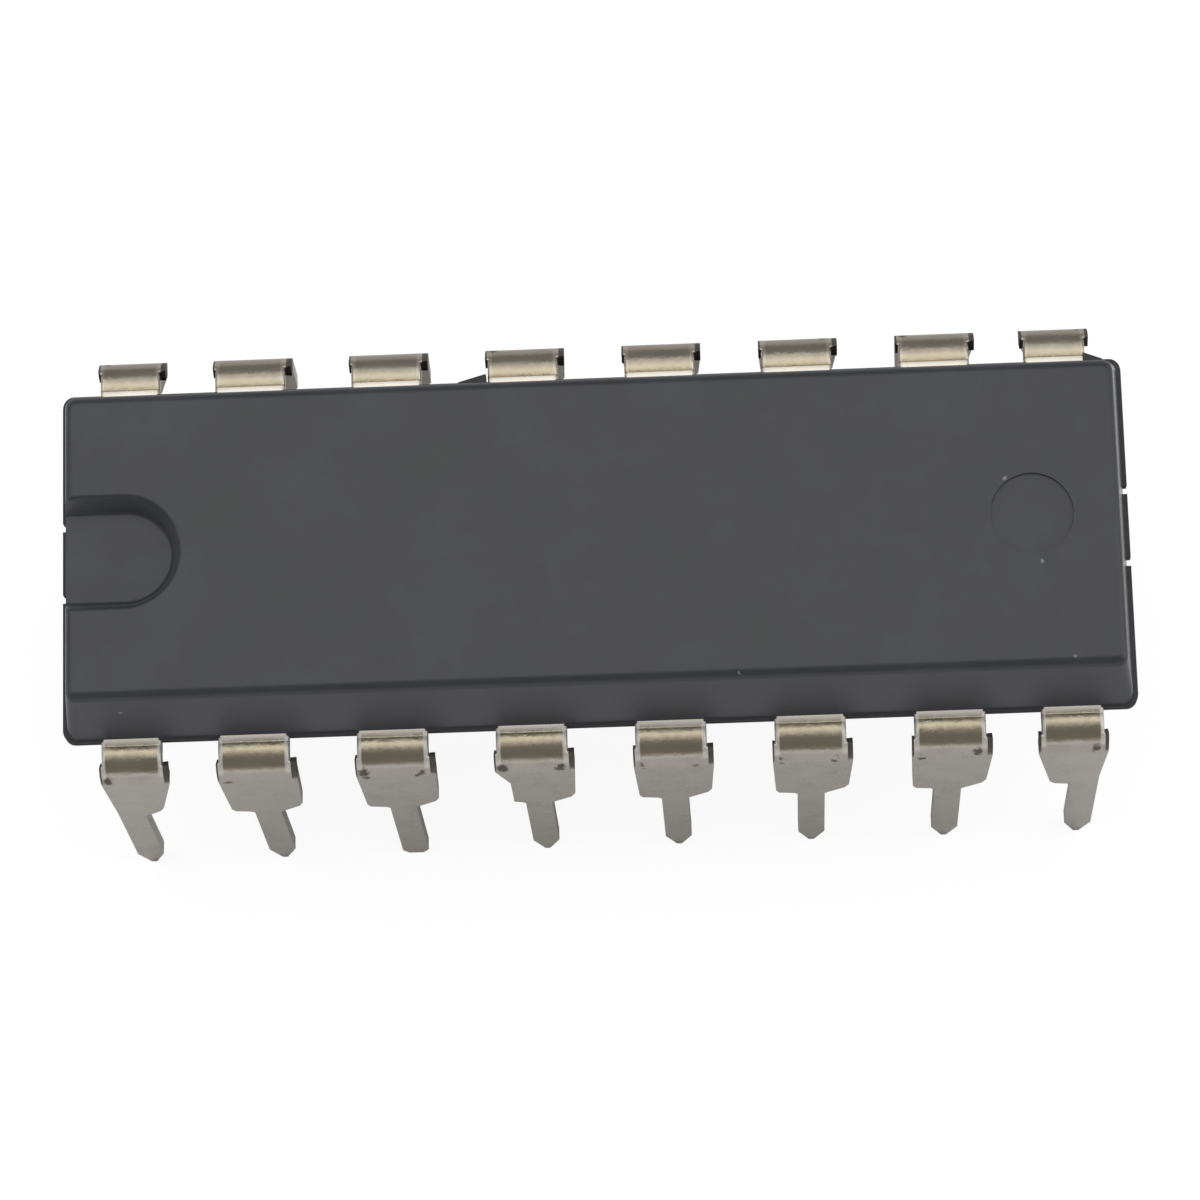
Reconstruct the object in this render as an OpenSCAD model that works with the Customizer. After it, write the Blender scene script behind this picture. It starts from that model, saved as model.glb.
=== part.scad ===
// Dual in-line integrated circuit: a moulded epoxy body on a stamped and formed lead frame.
// Millimetres. X runs along the body with the pin 1 end at -X, Z is up, and the tips of the leads stand on z = 0.
// The origin lies midway between the two rows of tips.

/* [Package] */
// Number of leads, half of them in each row
pin_count = 16; // [12:4:16]
// Distance between the centre lines of neighbouring leads
pitch = 2.54; // [2.5:0.01:2.6]
// Width over the outer faces of the two rows, where their bends end
bend_span = 8.04; // [7.9:0.02:8.3]

/* [Moulded body] */
// How far the body runs on past the centre lines of its end leads, at the parting ridge
body_overhang = 0.92; // [0.9:0.01:1.2]
// Height of the body above the strip
body_above = 1.53; // [1.4:0.01:2]
// Height of the body below the strip
body_below = 1.52; // [1.3:0.01:1.8]
// Draft of the two long walls in degrees
side_draft = 14; // [8:0.5:16]
// Draft of the two end walls in degrees
end_draft = 7; // [5:0.5:12]
// Radius of the rounded edges and corners
edge_r = 0.2; // [0.1:0.01:0.3]
// How far the parting ridge stands out from the walls
ridge = 0.08; // [0.03:0.01:0.1]
// How far a corner of flash reaches out along a shoulder
flash_w = 0.16; // [0.1:0.01:0.2]

/* [Pin 1 recess] */
// Width of the recess at the top face
notch_w = 2.12; // [1.6:0.02:2.6]
// Length of the recess from the body's end to its round end
notch_l = 2.34; // [2:0.02:3]
// Depth of the recess
notch_depth = 0.46; // [0.3:0.02:0.6]
// Draft of the recess's wall in degrees
notch_draft = 20; // [10:1:25]
// How far the middle of the recess lies in front of the body's middle
notch_offset = 0.08; // [0:0.01:0.15]

/* [Ejector-pin marks] */
// Diameter of each round mark
mark_d = 1.5; // [1:0.05:2]
// Depth of each round mark
mark_depth = 0.05; // [0.03:0.01:0.1]
// Distance from the body's far end to the middle of the mark on the top
mark_inset = 1.85; // [1.5:0.05:3]
// Distance between the two marks on the underside
under_mark_gap = 12; // [8:0.5:13]

/* [Leads] */
// Flat length of a shoulder, from the parting ridge to the bend
shoulder_l = 0.23; // [0.15:0.01:0.4]
// Thickness of the strip that leads and die pad are stamped from
strip_t = 0.25; // [0.2:0.01:0.3]
// Width of the shoulder between the body and the dam bar
shoulder_w = 1.31; // [1.2:0.01:1.4]
// Reach of an end lead's shoulder towards its neighbour, from the centre line of the leg
end_reach = 0.88; // [0.8:0.01:0.95]
// Inside radius of the bend
bend_r = 0.25; // [0.2:0.01:0.3]
// Lean of the legs out of the upright, in degrees, as they are before they go into a board
splay = 4.9; // [0:0.1:8]
// Angle on the bend at which the stub of the cut dam bar starts
stub_angle = 28; // [15:1:60]
// How far the stub of the dam bar stands out at each side
stub = 0.09; // [0.03:0.01:0.12]
// Length of the blade, from the end of the bend to the middle of its step
blade_l = 1.85; // [1.7:0.01:2.2]
// Width of the blade just above its step
blade_w = 1.36; // [1.1:0.01:1.45]
// How far an end lead's blade narrows on its way down to the step
taper_w = 0.26; // [0.1:0.01:0.35]
// Height over which the blade's lower corners are cut back
corner_h = 0.5; // [0.3:0.02:0.7]
// How far those corners are cut back
corner_cut = 0.1; // [0.05:0.01:0.15]
// Height of the slope of the step, from the blade to the leg
step_slope = 0.25; // [0.1:0.01:0.3]
// Width of the leg
leg_w = 0.5; // [0.4:0.01:0.56]
// Length of the leg below the step, to its tip
leg_l = 3.31; // [2.9:0.01:3.8]
// Length of the pointed end
point_l = 0.55; // [0.3:0.01:0.7]
// Width of the flat at the very tip
tip_w = 0.12; // [0.08:0.01:0.2]
// Lead whose tip was cut blunt, or 0 for none
blunt_lead = 3; // [0:16]
// Width of that tip
blunt_w = 0.28; // [0.2:0.01:0.4]
// Length over which it narrows
blunt_l = 0.18; // [0.1:0.01:0.3]
// Lead whose blade was trimmed narrow on its -X side, or 0 for none
trimmed_lead = 4; // [0:16]
// How far that side is cut back
trim_cut = 0.22; // [0.1:0.01:0.25]
// Distance from the end of the bend at which the cut is full
trim_l = 0.75; // [0.5:0.05:1]

/* [Lead frame inside the body] */
// Length of the die pad
pad_l = 3.6; // [3.4:0.05:3.7]
// Width of the die pad
pad_w = 2.5; // [2.3:0.05:2.6]
// How far the die pad is set down from the leads
downset = 0.2; // [0.1:0.01:0.3]
// Width of a tie bar
tie_w = 0.28; // [0.2:0.01:0.3]
// Distance of the rear tie bars from the middle of the body
tie_rear = 0.78; // [0.75:0.01:0.85]
// Distance of the front tie bars from the middle of the body
tie_front = 0.58; // [0.5:0.01:0.65]
// How far a cut tie bar ends inside the parting ridge
tie_recess = 0.09; // [0.05:0.01:0.15]
// Gap between neighbouring fingers, which share the space between tie bar and wall
finger_gap = 0.2; // [0.15:0.01:0.22]
// Width of moulding left between the outermost finger and the parting ridge
rim_w = 0.26; // [0.2:0.01:0.3]

/* [Die and wires] */
// Length of the die
die_l = 2.1; // [1.8:0.05:2.3]
// Width of the die
die_w = 1.7; // [1.5:0.05:1.8]
// Thickness of the die
die_t = 0.28; // [0.2:0.01:0.35]
// Thickness of the die attach
attach_t = 0.03; // [0.02:0.005:0.05]
// Diameter of a bond wire
wire_d = 0.033; // [0.025:0.001:0.04]
// Height of a wire's loop above the die
wire_loop = 0.25; // [0.2:0.01:0.35]
// Diameter of the ball at a wire's first bond
ball_d = 0.09; // [0.08:0.005:0.1]
// Height of that ball
ball_h = 0.02; // [0.015:0.005:0.03]

/* [Hidden] */
$fn = 32;
ball_fn = 24;
row_pins = pin_count / 2;
half_t = strip_t / 2;
body_l = (row_pins - 1) * pitch + 2 * body_overhang;
half_l = body_l / 2;
// The bend's outer radius, the place of its centre, and the length of lead that hangs from its end
bend_outer = bend_r + strip_t;
bend_y = bend_span / 2 - bend_outer;
hang_l = blade_l + leg_l;
// A leaning lead stands on the inner edge of its tip
bend_z = hang_l * cos(splay) - bend_r * sin(splay);
half_w = bend_y - shoulder_l;
body_w = 2 * half_w;
// Heights of the strip's middle and of the two faces of the body
strip_z = bend_z + bend_outer - half_t;
top_z = strip_z + half_t + body_above;
bottom_z = strip_z - half_t - body_below;
// The frame inside
pad_z = strip_z - downset;
attach_z = pad_z + half_t;
die_z = attach_z + attach_t;
die_top = die_z + die_t;
tie_end = half_l - tie_recess;
// How deep the full width of a shoulder goes into the body
root_depth = 0.25;
// Length and width of the cut across a finger's corner
turn_w = 0.24;
// Gap between the die pad and the end of a finger
pad_gap = 0.25;
// Distance of a bond from the end of its finger, and from the edge of the die
bond_inset = 0.15;
die_inset = 0.12;
// Distance between bonds along the ends of the die
bond_step = 0.31;
wire_sides = 6;
wire_rings = 8;
// Cut of the inside corner between the step and the leg
leg_fillet = 0.08;
// Corners of flash left beside shoulders: lead, side of it along X, and length along the wall
flash_corners = [[row_pins + 1, 1, 0.38], [row_pins + 5, -1, 0.52]];
eps = 0.01;

// Place of a lead in its row, counted along +X from 0
function column(pin) = pin <= row_pins ? pin - 1 : pin_count - pin;
// Row of a lead: -1 in front and 1 at the rear
function row(pin) = pin <= row_pins ? -1 : 1;
function lead_x(pin) = (column(pin) - (row_pins - 1) / 2) * pitch;
// Steps from the end of the row to a lead, and the direction from that end to the middle
function rank(pin) = min(column(pin), row_pins - 1 - column(pin));
function inward(pin) = lead_x(pin) < 0 ? 1 : -1;
function is_end(pin) = rank(pin) == 0;

// Points beside a path at a distance, with mitred corners
function unit(v) = v / norm(v);
function left_of(v) = [-v[1], v[0]];
function side_point(path, i, offset) =
    let (
        before = unit(path[max(i, 1)] - path[max(i, 1) - 1]),
        after = unit(path[min(i + 1, len(path) - 1)] - path[min(i + 1, len(path) - 1) - 1]),
        mitre = unit(left_of(before) + left_of(after))
    )
    path[i] + mitre * offset / (mitre * left_of(before));
// Outline of a strip of constant width that follows a path
function strip_outline(path, width) = concat(
    [for (i = [0 : len(path) - 1]) side_point(path, i, width / 2)],
    [for (i = [len(path) - 1 : -1 : 0]) side_point(path, i, -width / 2)]
);

// Path of a lead's finger in the plane of the strip, from under the shoulder to its bond pad
function tie_edge(pin) = (row(pin) < 0 ? tie_front : tie_rear) + tie_w / 2;
// Distance from one finger to the next, on its way past the others to the middle
function finger_step(pin) = (half_w - rim_w - tie_edge(pin)) / ceil(row_pins / 2);
function finger_w(pin) = finger_step(pin) - finger_gap;
function finger_level(pin) = tie_edge(pin) + (rank(pin) + 1) * finger_step(pin) - finger_w(pin) / 2;
function finger_end_x(pin) =
    rank(pin) < 2 ? pad_l / 2 + pad_gap : (row_pins / 2 - 0.5 - rank(pin)) * pad_l / 4;
function finger_path(pin) =
    let (
        d = inward(pin),
        s = row(pin),
        x0 = lead_x(pin),
        x1 = -d * finger_end_x(pin),
        level = finger_level(pin)
    )
    concat(
        [[x0, s * bend_y], [x0, s * (level + turn_w)], [x0 + d * turn_w, s * level]],
        rank(pin) < 2
            ? [[x1, s * level]]
            : [[x1 - d * turn_w, s * level], [x1, s * (level - turn_w)], [x1, s * (pad_w / 2 + pad_gap)]]
    );
// Middle of a finger's bond pad
function bond_place(pin) =
    let (path = finger_path(pin), end = path[len(path) - 1], back = unit(path[len(path) - 2] - end))
    end + back * bond_inset;
// Bond pads stand in a ring on the die, in the order of the leads
function die_place(pin) =
    rank(pin) < 2
        ? [-inward(pin) * (die_l / 2 - die_inset), row(pin) * (1 + rank(pin)) * bond_step]
        : [-inward(pin) * (row_pins / 2 - 0.5 - rank(pin)) * die_l / 4, row(pin) * (die_w / 2 - die_inset)];

// Body

module rounded_plate(l, w, r) {
    square([l - 2 * r, w], center = true);
    square([l, w - 2 * r], center = true);
    for (x = [-1, 1], y = [-1, 1])
        translate([x * (l / 2 - r), y * (w / 2 - r)])
            circle(r);
}

// One half of the moulding, from the parting plane up: four drafted walls and edges rounded by a rolling ball
module half_moulding(height) {
    // Distances from an end wall and a long wall to the centre of a ball that touches them
    end_inset = edge_r / cos(end_draft);
    side_inset = edge_r / cos(side_draft);
    // The ball's highest ring of points lies at this height above its centre
    crown = edge_r * cos(180 / ball_fn);
    // The corners start below the parting plane, which then cuts them off
    depth = 1;
    intersection() {
        hull()
            for (x = [-1, 1], y = [-1, 1], z = [-depth, height - crown])
                translate([
                    x * (half_l - ridge - end_inset - z * tan(end_draft)),
                    y * (half_w - ridge - side_inset - z * tan(side_draft)),
                    z
                ])
                    sphere(edge_r, $fn = ball_fn);
        translate([-half_l, -half_w, 0])
            cube([body_l, body_w, height + eps]);
    }
}

module pin_1_recess() {
    r_top = notch_w / 2;
    r_floor = r_top - notch_depth * tan(notch_draft);
    // The cutter runs on past the top face at the same draft
    over = 0.1;
    r_over = r_top + over * tan(notch_draft);
    run = notch_l - r_top;
    h = notch_depth + over;
    translate([-half_l + run, -notch_offset, top_z - notch_depth]) {
        cylinder(h = h, r1 = r_floor, r2 = r_over);
        rotate([90, 0, -90])
            linear_extrude(run + eps)
                polygon([[-r_floor, 0], [r_floor, 0], [r_over, h], [-r_over, h]]);
    }
}

module ejector_marks() {
    translate([half_l - mark_inset, 0, top_z - mark_depth])
        cylinder(d = mark_d, h = mark_depth + eps);
    for (x = [-1, 1])
        translate([x * under_mark_gap / 2, 0, bottom_z - eps])
            cylinder(d = mark_d, h = mark_depth + eps);
}

// Thin corners of moulding compound that leaked out between the wall, the dam bar and a lead
module flash() {
    for (corner = flash_corners) {
        pin = corner[0];
        d = corner[1];
        x = lead_x(pin) + reach(pin, shoulder_w)[d < 0 ? 0 : 1];
        inner = row(pin) * (half_w - ridge);
        polygon([
            [x, inner], [x, row(pin) * (half_w + flash_w)],
            [x + d * corner[2], row(pin) * half_w], [x + d * corner[2], inner]
        ]);
    }
}

// Slots in the ridge where the tie bars were cut
module tie_slots() {
    for (x = [-1, 1], y = [-tie_front, tie_rear])
        translate([x * (tie_end + tie_recess / 2), y, strip_z])
            cube([tie_recess + eps, tie_w, strip_t], center = true);
}

module moulded_body() {
    color("#4b4c4e")
        difference() {
            union() {
                translate([0, 0, strip_z + half_t])
                    half_moulding(body_above);
                translate([0, 0, strip_z - half_t])
                    mirror([0, 0, 1])
                        half_moulding(body_below);
                translate([0, 0, strip_z - half_t])
                    linear_extrude(strip_t) {
                        rounded_plate(body_l, body_w, edge_r + ridge);
                        flash();
                    }
            }
            pin_1_recess();
            ejector_marks();
            tie_slots();
            translate([0, 0, strip_z - half_t])
                linear_extrude(strip_t)
                    for (pin = [1 : pin_count])
                        flat_outline(pin);
            pad_stamping();
            attach_layer();
            die_block();
            for (pin = [1 : pin_count])
                wire(pin);
        }
}

// Leads

// Reach of a lead's plate towards -X and +X of its centre line, for a plate of a given full width
function reach(pin, width) =
    is_end(pin)
        ? let (inner = end_reach - (shoulder_w - width) / 2, outer = leg_w / 2 + max(0, width - shoulder_w) / 2)
          inward(pin) > 0 ? [-outer, inner] : [-inner, outer]
        : [-width / 2, width / 2];

// The part of a lead that lies in the plane of the strip: finger and shoulder
module flat_outline(pin) {
    side = reach(pin, shoulder_w);
    root = half_w - root_depth;
    translate([lead_x(pin) + side[0], min(row(pin) * root, row(pin) * bend_y)])
        square([side[1] - side[0], bend_y - root]);
    polygon(strip_outline(finger_path(pin), finger_w(pin)));
}

// A sector of the bend, from the shoulder's end down, between two angles. The first one laps into the shoulder.
module bend_sector(from, to, side) {
    r = bend_outer + 1;
    translate([side[0], 0, 0])
        rotate([90, 0, 90])
            linear_extrude(side[1] - side[0]) {
                intersection() {
                    difference() {
                        circle(bend_outer, $fn = 64);
                        circle(bend_r, $fn = 64);
                    }
                    polygon([[0, 0], [r * sin(from), r * cos(from)], [r * sin(to), r * cos(to)]]);
                }
                if (from == 0)
                    translate([-root_depth, bend_r])
                        square([root_depth, strip_t]);
            }
}

// Outline of the blade and leg, seen from outside the row, with the tip at 0 and the end of the bend at hang_l
module leg_outline(pin) {
    stubs = reach(pin, shoulder_w + 2 * stub);
    blade = reach(pin, blade_w);
    tip = pin == blunt_lead ? [blunt_w / 2, blunt_l] : [tip_w / 2, point_l];
    for (side = [0, 1]) {
        s = side == 0 ? -1 : 1;
        leg = s * leg_w / 2;
        wide = abs(blade[side]) > leg_w;
        trimmed = pin == trimmed_lead && side == 0 && !is_end(pin);
        foot = blade[side] - s * (is_end(pin) ? taper_w : trimmed ? trim_cut : 0);
        corner = trimmed
            ? [[foot, hang_l - trim_l], [foot, leg_l + step_slope / 2]]
            : [[foot, leg_l + corner_h], [foot - s * corner_cut, leg_l + step_slope / 2]];
        polygon(concat(
            [[0, hang_l], [stubs[side], hang_l]],
            wide
                ? [
                    each corner,
                    [leg + s * leg_fillet, leg_l - step_slope / 2],
                    [leg, leg_l - step_slope / 2 - leg_fillet]
                ]
                : [[leg, leg_l + corner_h]],
            [[leg, tip[1]], [s * tip[0], 0], [0, 0]]
        ));
    }
}

// A whole lead: stamped flat, then formed
module lead(pin) {
    color("#b9b2a2") {
        translate([0, 0, strip_z - half_t])
            linear_extrude(strip_t)
                flat_outline(pin);
        translate([lead_x(pin), 0, 0])
            mirror([0, row(pin) < 0 ? 1 : 0, 0]) {
                translate([0, bend_y, bend_z]) {
                    bend_sector(0, stub_angle, reach(pin, shoulder_w));
                    bend_sector(stub_angle, 90 - splay, reach(pin, shoulder_w + 2 * stub));
                    rotate([splay, 0, 0])
                        translate([0, bend_outer, -hang_l])
                            rotate([90, 0, 0])
                                linear_extrude(strip_t)
                                    leg_outline(pin);
                }
            }
    }
}

// Die pad, die attach, die and wires

module pad_stamping() {
    translate([-pad_l / 2, -pad_w / 2, pad_z - half_t])
        cube([pad_l, pad_w, strip_t]);
    bend = pad_l / 2 + 0.25;
    for (x = [0, 1], y = [-tie_front, tie_rear])
        mirror([x, 0, 0])
            translate([0, y + tie_w / 2, 0])
                rotate([90, 0, 0])
                    linear_extrude(tie_w)
                        polygon(strip_outline(
                            [[pad_l / 2 - eps, pad_z], [bend, pad_z], [bend + downset, strip_z], [tie_end, strip_z]],
                            strip_t
                        ));
}

module attach_layer() {
    translate([-die_l / 2, -die_w / 2, attach_z])
        cube([die_l, die_w, attach_t]);
}

module die_block() {
    translate([-die_l / 2, -die_w / 2, die_z])
        cube([die_l, die_w, die_t]);
}

// A bond wire: a ball on the die and an arch that comes down on the finger
module wire(pin) {
    start = die_place(pin);
    end = bond_place(pin);
    z0 = die_top + ball_h;
    z1 = strip_z + half_t;
    heading = unit(end - start);
    function centre(t) =
        let (along = (1 - cos(180 * t)) / 2, p = start + (end - start) * along)
        [p[0], p[1], z0 + (z1 - z0) * along + wire_loop * sin(180 * t)];
    // The tilt of each ring runs from upright through level to upright again
    function ring(t) =
        let (c = centre(t), tilt = 180 * t)
        [
            for (k = [0 : wire_sides - 1])
                let (a = 360 * k / wire_sides, u = wire_d / 2 * cos(a), v = wire_d / 2 * sin(a))
                c + [
                    heading[0] * u * cos(tilt) - heading[1] * v,
                    heading[1] * u * cos(tilt) + heading[0] * v,
                    -u * sin(tilt)
                ]
        ];
    points = [for (i = [0 : wire_rings]) each ring(i / wire_rings)];
    last = wire_rings * wire_sides;
    faces = concat(
        [[for (k = [wire_sides - 1 : -1 : 0]) k]],
        [
            for (i = [0 : wire_rings - 1], k = [0 : wire_sides - 1])
                let (a = i * wire_sides + k, b = i * wire_sides + (k + 1) % wire_sides)
                [a, b, b + wire_sides, a + wire_sides]
        ],
        [[for (k = [0 : wire_sides - 1]) last + k]]
    );
    polyhedron(points, faces);
    translate([start[0], start[1], die_top])
        cylinder(d = ball_d, h = ball_h);
}

module die_pad() {
    color("#b5a58a")
        pad_stamping();
}

module die_attach() {
    color("#c9c9c6")
        attach_layer();
}

module die() {
    color("#5a6472")
        die_block();
}

module bond_wire(pin) {
    color("#d9b54a")
        wire(pin);
}

moulded_body();
for (pin = [1 : pin_count]) {
    lead(pin);
    bond_wire(pin);
}
die_pad();
die_attach();
die();
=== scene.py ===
"""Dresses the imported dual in-line integrated circuit: moulded body, formed leads, and the lead frame, die and wires.

Sizes are in millimetres. A piece is modelled a thousand times up, with one unit to the millimetre, because Blender's
tools merge and clip lengths as small as these, and finish_piece brings it down to metres in the frame of the CAD.
"""

import logging
import math
from dataclasses import dataclass
from enum import Enum
from functools import reduce
from typing import Any, Callable, Sequence

import bmesh
import bpy
from mathutils import Matrix, Vector


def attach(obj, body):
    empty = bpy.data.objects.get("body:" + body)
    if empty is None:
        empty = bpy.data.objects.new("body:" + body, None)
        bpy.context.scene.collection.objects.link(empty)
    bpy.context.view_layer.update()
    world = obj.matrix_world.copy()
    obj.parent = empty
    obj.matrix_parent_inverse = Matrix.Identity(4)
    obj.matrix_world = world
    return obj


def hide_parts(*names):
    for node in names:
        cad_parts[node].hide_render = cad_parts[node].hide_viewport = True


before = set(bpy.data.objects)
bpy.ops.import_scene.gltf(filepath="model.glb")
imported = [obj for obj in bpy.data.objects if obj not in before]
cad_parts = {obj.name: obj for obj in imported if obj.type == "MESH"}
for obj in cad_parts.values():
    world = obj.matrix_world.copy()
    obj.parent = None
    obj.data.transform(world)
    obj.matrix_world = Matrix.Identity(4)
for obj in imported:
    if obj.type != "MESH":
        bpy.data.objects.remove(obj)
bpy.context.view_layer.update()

MM = 0.001
# Lengths that differ by less than this, in millimetres, are the same
SLACK = 0.002
SHADER = "Principled BSDF"
log = logging.getLogger("dual_in_line")

Thing = bpy.types.Object
Material = bpy.types.Material
Tree = bpy.types.NodeTree
Node = bpy.types.Node
Socket = bpy.types.NodeSocket


class Part(Enum):
    """What pick() selects in edit mode."""

    POINT = 0
    EDGE = 1


class Row(Enum):
    """A row of leads, by the sign of its side along Y."""

    FRONT = -1
    REAR = 1


# Colours and nodes


def paint(code: str) -> tuple[float, float, float, float]:
    """Turns an sRGB hex code into the linear colour that a shader takes.

    Args:
        code: Six hex digits.

    Returns:
        Red, green, blue and alpha.
    """
    parts = [int(code[i:i + 2], 16) / 255 for i in (0, 2, 4)]
    linear = [v / 12.92 if v <= 0.04045 else ((v + 0.055) / 1.055) ** 2.4 for v in parts]
    return (linear[0], linear[1], linear[2], 1.0)


def add_node(tree: Tree, kind: str, settings: dict[str, Any] | None = None, **inputs: Any) -> Node:
    """Adds a node, sets its properties, and fills or links its inputs.

    Args:
        tree: The material's node tree.
        kind: The node's type without "ShaderNode".
        settings: Properties of the node, such as its operation.
        **inputs: Values, or sockets to link from, by socket name with _ for a space, or by i and the socket's number.

    Returns:
        The new node.
    """
    node = tree.nodes.new("ShaderNode" + kind)
    for name, value in (settings or {}).items():
        setattr(node, name, value)
    for name, value in inputs.items():
        numbered = name[0] == "i" and name[1:].isdigit()
        socket = node.inputs[int(name[1:]) if numbered else name.replace("_", " ")]
        if isinstance(value, Socket):
            tree.links.new(value, socket)
        else:
            socket.default_value = value
    return node


def calc(tree: Tree, operation: str, *values: float | Socket) -> Socket:
    """Adds a Math node, with its inputs in order, and gives its result."""
    inputs = {f"i{number}": value for number, value in enumerate(values)}
    return add_node(tree, "Math", {"operation": operation}, **inputs).outputs[0]


def map_range(tree: Tree, value: Socket, low: float, high: float, first: float, last: float,
              kind: str = "LINEAR") -> Socket:
    """Turns low to high of a value into first to last, LINEAR or SMOOTHSTEP, and holds what lies outside."""
    return add_node(tree, "MapRange", {"interpolation_type": kind}, Value=value, i1=low, i2=high, i3=first,
                    i4=last).outputs[0]


def step(tree: Tree, value: Socket, at: float, width: float, before: float, after: float) -> Socket:
    """Goes smoothly from one result to another, over a width, where a value passes a place."""
    return map_range(tree, value, at - width / 2, at + width / 2, before, after, "SMOOTHSTEP")


def part_of(tree: Tree, vector: Socket, axis: str) -> Socket:
    """Takes one coordinate, "X", "Y" or "Z", of a vector."""
    return add_node(tree, "SeparateXYZ", Vector=vector).outputs[axis]


def distance(tree: Tree, place: Socket, point: Sequence[float]) -> Socket:
    """Measures how far a place lies from a fixed point."""
    return add_node(tree, "VectorMath", {"operation": "DISTANCE"}, i0=place, i1=point).outputs["Value"]


def largest(tree: Tree, values: Sequence[Socket]) -> Socket:
    """Takes the largest of several values."""
    return reduce(lambda one, other: calc(tree, "MAXIMUM", one, other), values)


def blend(tree: Tree, share: float | Socket, under: Any, over: Any, kind: str = "MIX") -> Socket:
    """Lays a share of one colour over another."""
    return add_node(tree, "Mix", {"data_type": "RGBA", "blend_type": kind}, i0=share, i6=under, i7=over).outputs[2]


def noise(tree: Tree, place: Socket, size: float, detail: float = 2.0, roughness: float = 0.5) -> Socket:
    """Adds noise, between 0 and 1, whose features have a size in millimetres."""
    return add_node(tree, "TexNoise", Vector=place, Scale=1 / (size * MM), Detail=detail,
                    Roughness=roughness).outputs["Fac"]


def stretched(tree: Tree, place: Socket, factor: float) -> Socket:
    """Squeezes a pattern across the strip, so that it runs in lines along X."""
    return add_node(tree, "Mapping", Vector=place, Scale=(1.0, factor, factor)).outputs[0]


def add_ramp(tree: Tree, factor: Socket, stops: Sequence[tuple[float, str]]) -> Socket:
    """Adds a colour ramp.

    Args:
        tree: The material's node tree.
        factor: The socket that drives the ramp.
        stops: Position and hex colour of each stop, in order.

    Returns:
        The ramp's colour socket.
    """
    node = add_node(tree, "ValToRGB", Fac=factor)
    elements = node.color_ramp.elements
    while len(elements) < len(stops):
        elements.new(0.5)
    for element, (position, code) in zip(elements, stops):
        element.position = position
        element.color = paint(code)
    return node.outputs["Color"]


def add_bump(tree: Tree, height: Socket, strength: float, depth: float, **under: Socket) -> Socket:
    """Raises a pattern by a depth in millimetres, over another bump where Normal is given, and gives the normal."""
    return add_node(tree, "Bump", Height=height, Strength=strength, Distance=depth * MM, **under).outputs["Normal"]


def new_tree(name: str) -> tuple[Material, Tree]:
    """Starts a material.

    Args:
        name: The material's name.

    Returns:
        The material and its node tree.
    """
    material = bpy.data.materials.new(name)
    material.use_nodes = True
    return material, material.node_tree


def object_place(tree: Tree) -> Socket:
    """Gives the object coordinates, in metres."""
    return add_node(tree, "TexCoord").outputs["Object"]


def connect(tree: Tree, colour: Socket, rough: Socket, normal: Socket, metallic: float = 0.0) -> None:
    """Links a finish to the shader.

    Args:
        tree: The material's node tree.
        colour: Base colour.
        rough: Roughness.
        normal: The bumped normal.
        metallic: 1 for a metal.
    """
    shader = tree.nodes[SHADER]
    for name, socket in (("Base Color", colour), ("Roughness", rough), ("Normal", normal)):
        tree.links.new(socket, shader.inputs[name])
    shader.inputs["Metallic"].default_value = metallic


# Finishes


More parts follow.
